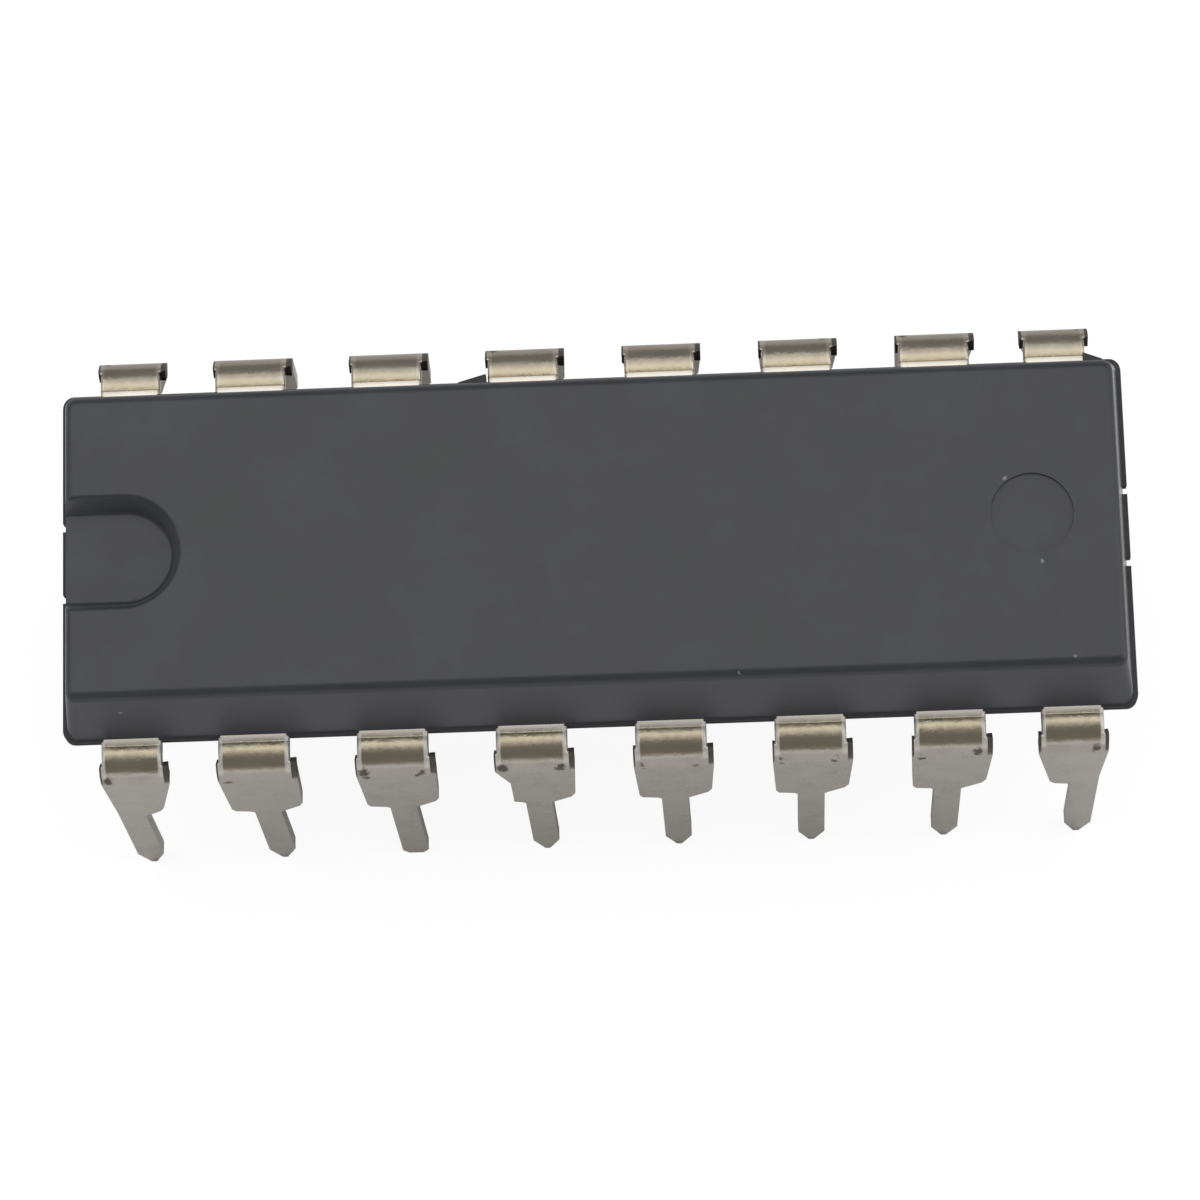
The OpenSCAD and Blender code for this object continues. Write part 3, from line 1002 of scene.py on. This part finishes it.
@dataclass(frozen=True)
class LeadForm:
    """Outline of one kind of lead, seen from outside the front row, with X to the right.

    Reaches run from the centre line of the leg to the left and right edges of the plate.
    """

    name: str
    shoulder: tuple[float, float] = (-0.65, 0.65)
    stubs: tuple[float, float] = (-0.7, 0.765)
    corner: tuple[float, float] = (-0.655, 0.7)
    foot: tuple[float, float] = (-0.6, 0.63)
    # Distances from the end of the bend at which each side reaches its corner and its foot
    corner_at: tuple[float, float] = (1.79, 1.52)
    foot_at: tuple[float, float] = (1.92, 1.71)
    tip_width: float = 0.1
    point_length: float = 0.55


@dataclass
class FormedLeads:
    """The 16 leads: stamped flat from strip, plated, then bent down over a die."""

    strip: Strip
    splay: float = 4.9
    blade_length: float = 1.85
    leg_length: float = 3.31
    leg_width: float = 0.5
    step_slope: float = 0.25
    fillet: float = 0.08
    # Where the full width of a shoulder starts, inside the body
    root: float = 3.04
    # Angle on the bend at which the stubs of the dam bar start, and the angle down to which they are torn and dark
    stub_angle: float = 28.0
    cut_angle: float = 62.0
    # Rows of points over the bend: before the stubs, and along them
    first_steps: int = 4
    last_steps: int = 6
    # Rows of the blade below the bend, so that the plate keeps even faces
    blade_rows: tuple[float, float] = (0.25, 0.5)
    # Depth under the strip down to which the blade's sides are torn, and height of the torn tip
    torn: float = 1.5
    torn_tip: float = 0.1
    # How far outside the shoulder a stub starts, and how squarely a face has to face the side or the floor
    outside: float = 0.005
    squarely: float = 0.8
    # Groove that the forming die leaves across the shoulder, just before the bend starts
    crease_depth: float = 0.018
    crease_width: float = 0.08
    crease_at: float = -0.14
    # Radius of the edges that the plating rounds, and of the shoulder's sides, which the punch draws down
    edge: float = 0.025
    drawn: float = 0.06
    # Angle in radians between the faces at such a side's edge, at the least
    side_turn: float = 1.0
    # The trim tool stood this far towards +X of the middle of the pitch
    trim_offset: float = 0.03
    # Width that every shoulder has on the map of the strip
    mapped_width: float = 1.3
    # Edges that turn by more than so many degrees are rounded, and shaded sharp
    sharp: float = 50.0
    smooth: float = 32.0

    def forms(self) -> dict[int, LeadForm]:
        """Gives each lead its outline. The rear row is the front row seen in a mirror, without its two misfits.

        Returns:
            The outline of each lead by its number.
        """
        end = LeadForm("end", shoulder=(-0.25, 0.85), stubs=(-0.3, 0.95), corner=(-0.25, 0.65), foot=(-0.25, 0.58))
        far_end = LeadForm("far_end", shoulder=(-0.88, 0.25), stubs=(-0.94, 0.33), corner=(-0.655, 0.25),
                           foot=(-0.56, 0.25))
        blunt = LeadForm("blunt", tip_width=0.28, point_length=0.18)
        trimmed = LeadForm("trimmed", corner=(-0.46, 0.7), foot=(-0.46, 0.63), corner_at=(0.75, 1.52))
        odd = {1: end, 16: end, 3: blunt, 4: trimmed, 8: far_end, 9: far_end}
        inner = LeadForm("inner")
        return {pin: odd.get(pin, inner) for pin in self.strip.pins}

    def build(self) -> list[Thing]:
        """Models each kind of lead once, copies it to its places and ties the copies to the frame.

        Returns:
            The 16 finished leads.
        """
        forms = self.forms()
        models = {form: self.model(form) for form in dict.fromkeys(forms.values())}
        leads = [self.place(models[form], pin) for pin, form in forms.items()]
        for model in models.values():
            bpy.data.objects.remove(model)
        return leads

    def model(self, form: LeadForm) -> Thing:
        """Models one kind of lead at the middle of the front row.

        Args:
            form: The outline of the lead.

        Returns:
            The lead as a solid.
        """
        piece, runs = self.blank(form)
        self.map_strip(piece, form)
        self.bend(piece, runs)
        use_modifier(piece, "SOLIDIFY", thickness=self.strip.thick, offset=0.0, use_even_offset=True,
                     use_quality_normals=True)
        self.draw_down(piece, form)
        self.bare_cuts(piece, form)
        use_modifier(piece, "BEVEL", width=self.edge, segments=3, limit_method="ANGLE",
                     angle_limit=math.radians(self.sharp))
        return piece

    def bend_angles(self) -> list[float]:
        """Gives the angles of the rows of points over the bend, with one row where the stubs start.

        Returns:
            The angles in degrees.
        """
        rest = 90 - self.splay - self.stub_angle
        first = [self.stub_angle * i / self.first_steps for i in range(self.first_steps)]
        return first + [self.stub_angle + rest * i / self.last_steps for i in range(self.last_steps + 1)]

    def blank(self, form: LeadForm) -> tuple[Thing, list[float]]:
        """Draws the flat blank in the middle plane of the strip, from the root out along -Y.

        Args:
            form: The outline of the lead.

        Returns:
            The blank, and the places of the bend's rows of points along the strip from the start of the bend.
        """
        radius = self.strip.bend_radius + self.strip.thick / 2
        angles = self.bend_angles()
        runs = [0.0]
        for a, b in zip(angles, angles[1:]):
            runs.append(runs[-1] + 2 * radius * math.sin(math.radians(b - a) / 2))
        bend_end = runs[-1]
        tip = bend_end + self.blade_length + self.leg_length
        step_end = bend_end + self.blade_length + self.step_slope / 2
        rows = {
            "stub": runs[self.first_steps],
            "bend_end": bend_end,
            "left": bend_end + form.corner_at[0],
            "right": bend_end + form.corner_at[1],
            "left_foot": bend_end + form.foot_at[0],
            "right_foot": bend_end + form.foot_at[1],
            "step": step_end,
            "leg": step_end + self.fillet,
            "point": tip - form.point_length,
            "tip": tip,
        }
        start = self.root - self.strip.bend_start
        crease = [self.crease_at + self.crease_width * share for share in (-0.5, 0.0, 0.5)]
        below = [bend_end + row for row in self.blade_rows]
        cuts = sorted({round(v, 5) for v in [*crease, *runs, *below, *rows.values()]})
        deselect_all()
        bpy.ops.mesh.primitive_plane_add(size=1.0, location=(0.0, -self.strip.bend_start, self.strip.height))
        piece = start_piece("lead_" + form.name)
        bpy.ops.transform.resize(value=(self.leg_width, 1.0, 1.0))
        # The plane's two edges across the strip go to the root and to the first row
        pick(piece, Part.POINT, lambda point: point.co.y > 0)
        shift(y=-0.5 - start)
        pick(piece, Part.POINT, lambda point: near(point.co.y, -0.5))
        shift(y=0.5 - cuts[0])
        pick(piece, Part.EDGE, lambda edge: all(near(v.co.y, -cuts[0]) for v in edge.verts))
        for a, b in zip(cuts, cuts[1:]):
            extrude(y=a - b)
        scale_about((0.0, 0.0, self.strip.height), form.tip_width / self.leg_width)
        for side, sign in ((0, -1), (1, 1)):
            self.widen(piece, form, side, sign, rows, cuts)
        tidy_mesh()
        return piece, runs

    def widen(self, piece: Thing, form: LeadForm, side: int, sign: int, rows: dict[str, float],
              cuts: list[float]) -> None:
        """Draws one side of the plate out from the middle column to the outline of the lead.

        Args:
            piece: The blank in edit mode.
            form: The outline of the lead.
            side: 0 for the left side and 1 for the right.
            sign: -1 for the left side and 1 for the right.
            rows: Places of the named rows along the strip.
            cuts: Places of all the rows along the strip.
        """
        half = self.leg_width / 2
        reach, stub = abs(form.shoulder[side]), abs(form.stubs[side])
        corner, foot = (("left", "left_foot"), ("right", "right_foot"))[side]
        wide = reach > self.leg_width
        last = rows["leg"] if wide else rows["left"]

        def on_side(edge: Any, x: float, first: float) -> bool:
            """Says whether an edge lies at a half width, between a row and the last one."""
            return all(near(v.co.x * sign, x) and -last - SLACK < v.co.y < -first + SLACK for v in edge.verts)

        if wide:
            pick(piece, Part.EDGE, lambda edge: on_side(edge, half, self.root - self.strip.bend_start))
            extrude(x=sign * (reach - half))
        pick(piece, Part.EDGE, lambda edge: on_side(edge, reach, rows["stub"]))
        extrude(x=sign * (stub - reach))
        # From the end of the bend down, the plate's edge follows the outline
        outline = [(rows["bend_end"], stub), (rows[corner], abs(form.corner[side]))]
        if wide:
            outline += [(rows[foot], abs(form.foot[side])), (rows["step"], half + self.fillet), (rows["leg"], half)]
        for row in cuts:
            if not rows["bend_end"] + SLACK / 2 < row < last + SLACK / 2:
                continue
            edge_x = self.along(outline, row)
            inner_x = edge_x - min(stub - reach, (edge_x - half) * 0.5) if wide else half
            for old, new in ((reach, inner_x), (stub, edge_x)):
                if wide or old > half + SLACK / 2:
                    pick(piece, Part.POINT, lambda point: near(point.co.x * sign, old) and near(-point.co.y, row))
                    shift(x=sign * (new - old))

    @staticmethod
    def along(outline: Sequence[tuple[float, float]], row: float) -> float:
        """Reads the half width of an outline at a row.

        Args:
            outline: Rows and half widths, in order.
            row: Place along the strip.

        Returns:
            The half width there.
        """
        for (r0, x0), (r1, x1) in zip(outline, outline[1:]):
            if row <= r1 + SLACK / 2:
                return x0 + (x1 - x0) * (row - r0) / (r1 - r0)
        return outline[-1][1]

    def map_strip(self, piece: Thing, form: LeadForm) -> None:
        """Keeps the flat blank's coordinates as the map "strip", in millimetres.

        The first runs across the strip from the middle of the shoulder, scaled so that each kind of lead has the sides
        of its shoulder at the same place. The second runs along the strip from the start of the bend.

        Args:
            piece: The flat blank.
            form: The outline of the lead.
        """
        middle = (form.shoulder[0] + form.shoulder[1]) / 2
        stretch = self.mapped_width / (form.shoulder[1] - form.shoulder[0])
        layer = piece.data.uv_layers.active or piece.data.uv_layers.new()
        layer.name = "strip"
        for loop in piece.data.loops:
            place = piece.data.vertices[loop.vertex_index].co
            layer.data[loop.index].uv = ((place.x - middle) * stretch, -place.y)

    def bend(self, piece: Thing, runs: list[float]) -> None:
        """Presses the crease, then turns all that lies beyond each row of the bend about that row.

        Args:
            piece: The flat blank.
            runs: Places of the rows of the bend.
        """
        angles = self.bend_angles()
        turns = [0.0, *(b - a for a, b in zip(angles, angles[1:])), 0.0]
        flat = [-v.co.y for v in piece.data.vertices]
        select_only(piece)
        bpy.ops.object.mode_set(mode="EDIT")
        pick(piece, Part.POINT, lambda point: near(flat[point.index], self.crease_at))
        shift(z=-self.crease_depth)
        for run, before, after in zip(runs, turns, turns[1:]):
            points = bmesh.from_edit_mesh(piece.data).verts
            hinge = next(piece.matrix_world @ v.co for v in points if near(flat[v.index], run))
            pick(piece, Part.POINT, lambda point: flat[point.index] > run + SLACK / 2)
            bpy.ops.transform.rotate(value=-math.radians((before + after) / 2), orient_axis="X",
                                     center_override=(0.0, hinge.y, hinge.z))
        bpy.ops.object.mode_set(mode="OBJECT")

    def draw_down(self, piece: Thing, form: LeadForm) -> None:
        """Rounds the outer edges at both sides of the shoulder and the bend, down to the stubs.

        Args:
            piece: The bent lead.
            form: The outline of the lead.
        """
        centre = self.strip.bottom - self.strip.bend_radius
        # The outer face of the bend, less a little
        outer = self.strip.bend_radius + 0.9 * self.strip.thick

        def on_outside(point: Any) -> bool:
            """Says whether a point lies on an outer side edge of the shoulder or the bend.

            Args:
                point: A point of the mesh.

            Returns:
                True where it does.
            """
            place = piece.matrix_world @ point.co
            out, up = -place.y - self.strip.bend_start, place.z - centre
            round_bend = math.hypot(out, up) > outer and math.degrees(math.atan2(out, up)) < self.stub_angle + 1
            return (up > outer if out < 0 else round_bend) and any(near(place.x, side) for side in form.shoulder)

        bpy.ops.object.mode_set(mode="EDIT")
        pick(piece, Part.EDGE,
             lambda edge: all(map(on_outside, edge.verts)) and edge.calc_face_angle(0.0) > self.side_turn)
        round_edges(self.drawn, 3)
        tidy_mesh()

    def bare_cuts(self, piece: Thing, form: LeadForm) -> None:
        """Gives the second material to what was cut after plating: the stubs, the sides below them and the tip.

        Args:
            piece: The bent lead.
            form: The outline of the lead.
        """
        bend_z = self.strip.bottom - self.strip.bend_radius
        for face in piece.data.polygons:
            centre = piece.matrix_world @ face.center
            angle = math.degrees(math.atan2(-centre.y - self.strip.bend_start, centre.z - bend_z))
            outside = not form.shoulder[0] - self.outside < centre.x < form.shoulder[1] + self.outside
            side = abs(face.normal.x) > self.squarely and centre.z > self.strip.height - self.torn
            stub = (outside and angle < self.cut_angle) or side
            tip = face.normal.z < -self.squarely and centre.z < self.torn_tip
            face.material_index = 1 if (stub and angle > self.stub_angle - 1) or tip else 0

    def place(self, model: Thing, pin: int) -> Thing:
        """Copies a lead to its place in the row, adds its finger inside the body and ties it to the frame.

        Args:
            model: The lead at the middle of the front row.
            pin: The lead's number.

        Returns:
            The finished lead.
        """
        node, row = f"lead_{pin}", self.strip.row(pin)
        move = Matrix.Translation((self.strip.lead_x(pin) + self.trim_offset, 0.0, 0.0)) @ model.matrix_world
        lead = add_copy(f"formed_{node}", model.data, move)
        if row is Row.REAR:
            lead.data.transform(Matrix.Scale(-1.0, 4, (0.0, 1.0, 0.0)))
            lead.data.flip_normals()
        finger = self.finger(node, row)
        select_only(lead)
        finger.select_set(True)
        bpy.ops.object.join()
        for face in lead.data.polygons:
            if abs(face.center.y) < self.root:
                face.material_index = 2
        finish_piece(lead, [node], self.smooth)
        return lead

    def finger(self, node: str, row: Row) -> Thing:
        """Cuts the part of a lead that lies inside the body from a copy of its CAD node.

        Args:
            node: The CAD node of the lead.
            row: The lead's row.

        Returns:
            The finger, closed where it was cut.
        """
        finger = add_copy("finger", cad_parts[node].data, Matrix.Scale(1 / MM, 4))
        finger.data.materials.clear()
        select_only(finger)
        bpy.ops.object.mode_set(mode="EDIT")
        merge_points()
        bpy.ops.mesh.select_all(action="SELECT")
        bpy.ops.mesh.bisect(plane_co=(0.0, row.value * (self.root + 0.01), 0.0), plane_no=(0.0, row.value, 0.0),
                            use_fill=True, clear_outer=True)
        tidy_mesh()
        return finger


def dress(pieces: Sequence[Thing], *materials: Material) -> None:
    """Puts the same materials on several pieces, in the order of their slots.

    Args:
        pieces: The pieces.
        *materials: The materials.
    """
    for piece in pieces:
        piece.data.materials.clear()
        for material in materials:
            piece.data.materials.append(material)


@dataclass
class LeadFrameInside:
    """What the resin hides: die pad, die attach, die and bond wires, which stay as the CAD has them."""

    strip: Strip

    def dress(self) -> None:
        """Gives each of these CAD nodes its finish."""
        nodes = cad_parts
        for node, finish in (("die_pad", BareStrip()), ("die_attach", SilverEpoxy()), ("die", SiliconWafer())):
            dress([nodes[node]], finish.material())
        dress([nodes[f"bond_wire_{pin}"] for pin in self.strip.pins], GoldWire().material())


# The studio


@dataclass(frozen=True)
class Lamp:
    """A soft lamp that faces the object: where it hangs, its two sides, and how bright its face is."""

    name: str
    place: tuple[float, float, float]
    size: tuple[float, float]
    radiance: float
    # What it faces
    aim: tuple[float, float, float] = (0.0, 0.0, 0.005)

    def build(self) -> None:
        """Hangs the lamp."""
        light = bpy.data.lights.new(self.name, "AREA")
        light.shape = "RECTANGLE"
        light.size, light.size_y = self.size
        light.energy = self.radiance * math.pi * self.size[0] * self.size[1]
        lamp = bpy.data.objects.new(self.name, light)
        bpy.context.scene.collection.objects.link(lamp)
        lamp.location = self.place
        lamp.rotation_euler = (Vector(self.place) - Vector(self.aim)).to_track_quat("Z", "Y").to_euler()


@dataclass
class Studio:
    """A plain white table with a wide soft lamp above and behind it, one at each side and a low one in front."""

    # Places and sizes in metres
    lamps: tuple[Lamp, ...] = (
        Lamp("lamp_above", (0.0, 0.09, 0.28), (0.8, 0.25), 1.14),
        Lamp("lamp_left", (-0.36, 0.0, 0.14), (0.2, 0.16), 0.5),
        Lamp("lamp_right", (0.36, 0.0, 0.14), (0.2, 0.16), 2.2),
        Lamp("lamp_front", (0.0, -0.34, 0.055), (0.5, 0.1), 0.7),
    )
    # Dim light of the room, which the camera sees as white
    room: float = 0.37
    # Grey value of the table top, and how much of its own light the camera sees in place of its shade
    table_top: float = 0.92
    glow: float = 1.1
    glow_share: float = 0.82
    # Side of the table, and how far it lies under the tips
    table_side: float = 4.0
    table_drop: float = 0.00001

    def build(self) -> None:
        """Lays the table, hangs the lamps and fills the room with light."""
        self.table()
        for lamp in self.lamps:
            lamp.build()
        world = bpy.data.worlds.new("studio")
        world.use_nodes = True
        bpy.context.scene.world = world
        tree = world.node_tree
        rays = add_node(tree, "LightPath").outputs["Is Camera Ray"]
        background = tree.nodes["Background"]
        tree.links.new(map_range(tree, rays, 0.0, 1.0, self.room, 1.0), background.inputs["Strength"])
        background.inputs["Color"].default_value = paint("FFFFFF")

    def table(self) -> None:
        """Lays a white table top that the tips stand on, which keeps a faint shadow."""
        deselect_all()
        bpy.ops.mesh.primitive_plane_add(size=self.table_side, location=(0.0, 0.0, -self.table_drop))
        table = bpy.context.object
        table.name = "table_top"
        material, tree = new_tree("white_table")
        shader = tree.nodes[SHADER]
        shader.inputs["Base Color"].default_value = (self.table_top, self.table_top, self.table_top, 1.0)
        shader.inputs["Roughness"].default_value = 0.9
        rays = add_node(tree, "LightPath").outputs["Is Camera Ray"]
        share = calc(tree, "MULTIPLY", rays, self.glow_share)
        glow = add_node(tree, "Emission", Color=paint("FFFFFF"), Strength=self.glow).outputs[0]
        surface = add_node(tree, "MixShader", Fac=share, i1=shader.outputs[0], i2=glow).outputs[0]
        tree.links.new(surface, tree.nodes["Material Output"].inputs["Surface"])
        table.data.materials.append(material)


@dataclass
class StudioCamera:
    """The camera where the photograph was taken: high in front, a little to the right, and turned in its hand."""

    elevation: float = 76.0
    azimuth: float = 7.685
    roll: float = -9.499
    distance: float = 88.097
    focal: float = 143.63
    # Where the middle of the picture lies from the middle of the strip's plane, in the picture's own axes
    offset: tuple[float, float] = (-0.102, 0.891)
    aim_height: float = 5.4948
    sensor: float = 36.0
    # Distances in metres between which things are seen
    clip: tuple[float, float] = (0.001, 10.0)

    def build(self) -> None:
        """Places the camera and makes it the scene's."""
        high, around, turn = (math.radians(v) for v in (self.elevation, self.azimuth, self.roll))
        back = Vector((math.sin(around) * math.cos(high), -math.cos(around) * math.cos(high), math.sin(high)))
        level = Vector((math.cos(around), math.sin(around), 0.0))
        rise = back.cross(level)
        right = math.cos(turn) * level + math.sin(turn) * rise
        up = -math.sin(turn) * level + math.cos(turn) * rise
        place = Vector((0.0, 0.0, self.aim_height)) + self.distance * back
        place = place - self.offset[0] * right - self.offset[1] * up
        data = bpy.data.cameras.new("studio_camera")
        data.lens = self.focal
        data.sensor_width = self.sensor
        data.clip_start, data.clip_end = self.clip
        camera = bpy.data.objects.new("studio_camera", data)
        bpy.context.scene.collection.objects.link(camera)
        camera.matrix_world = Matrix.Translation(place * MM) @ Matrix((right, up, back)).transposed().to_4x4()
        bpy.context.scene.camera = camera


def main() -> None:
    """Builds the package and the studio in order."""
    logging.basicConfig(level=logging.INFO, format="%(name)s: %(message)s")
    bpy.context.scene.view_settings.view_transform = "Standard"
    strip = Strip()
    body = MouldedBody(strip).build()
    dress([body], MouldingCompound().material())
    leads = FormedLeads(strip).build()
    dress(leads, TinPlate().material(), ShearedStrip().material(), BareStrip().material())
    for piece in (body, *leads):
        log.info("%s: %d faces", piece.name, len(piece.data.polygons))
    LeadFrameInside(strip).dress()
    log.info("lead frame, die and wires dressed")
    Studio().build()
    StudioCamera().build()


if __name__ == "__main__":
    main()
